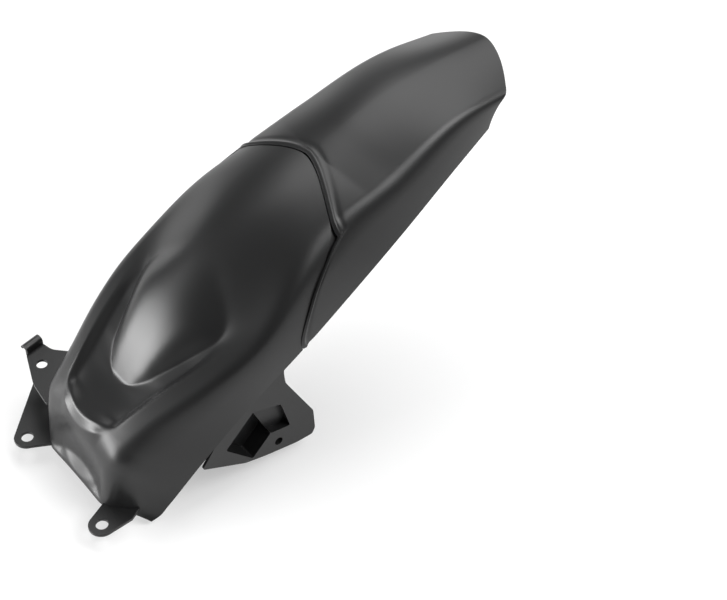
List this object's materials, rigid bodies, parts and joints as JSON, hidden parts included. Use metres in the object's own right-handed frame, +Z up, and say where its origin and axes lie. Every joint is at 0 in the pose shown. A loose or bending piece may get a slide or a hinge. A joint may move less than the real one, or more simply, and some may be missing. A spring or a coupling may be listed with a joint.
{
  "type": "rear wheel mudguard with rear extension",
  "caption": "Moulded rear mudguard for a motorcycle: a front section that wraps the wheel, with mounting tabs, and a long rear extension.",
  "frame": {"origin": "midway between the two front mounting holes, at mid thickness of their tabs", "axes": "+X to the rear of the motorcycle, along the part's length; +Z up, along the front mounting holes"},
  "size_m": [0.5264, 0.2457, 0.304],
  "materials": {
    "front_moulding": "satin",
    "rear_moulding": "satin"
  },
  "bodies": {
    "root": {"front_fender": "front_moulding", "rear_extension": "rear_moulding"}
  },
  "joints": []
}
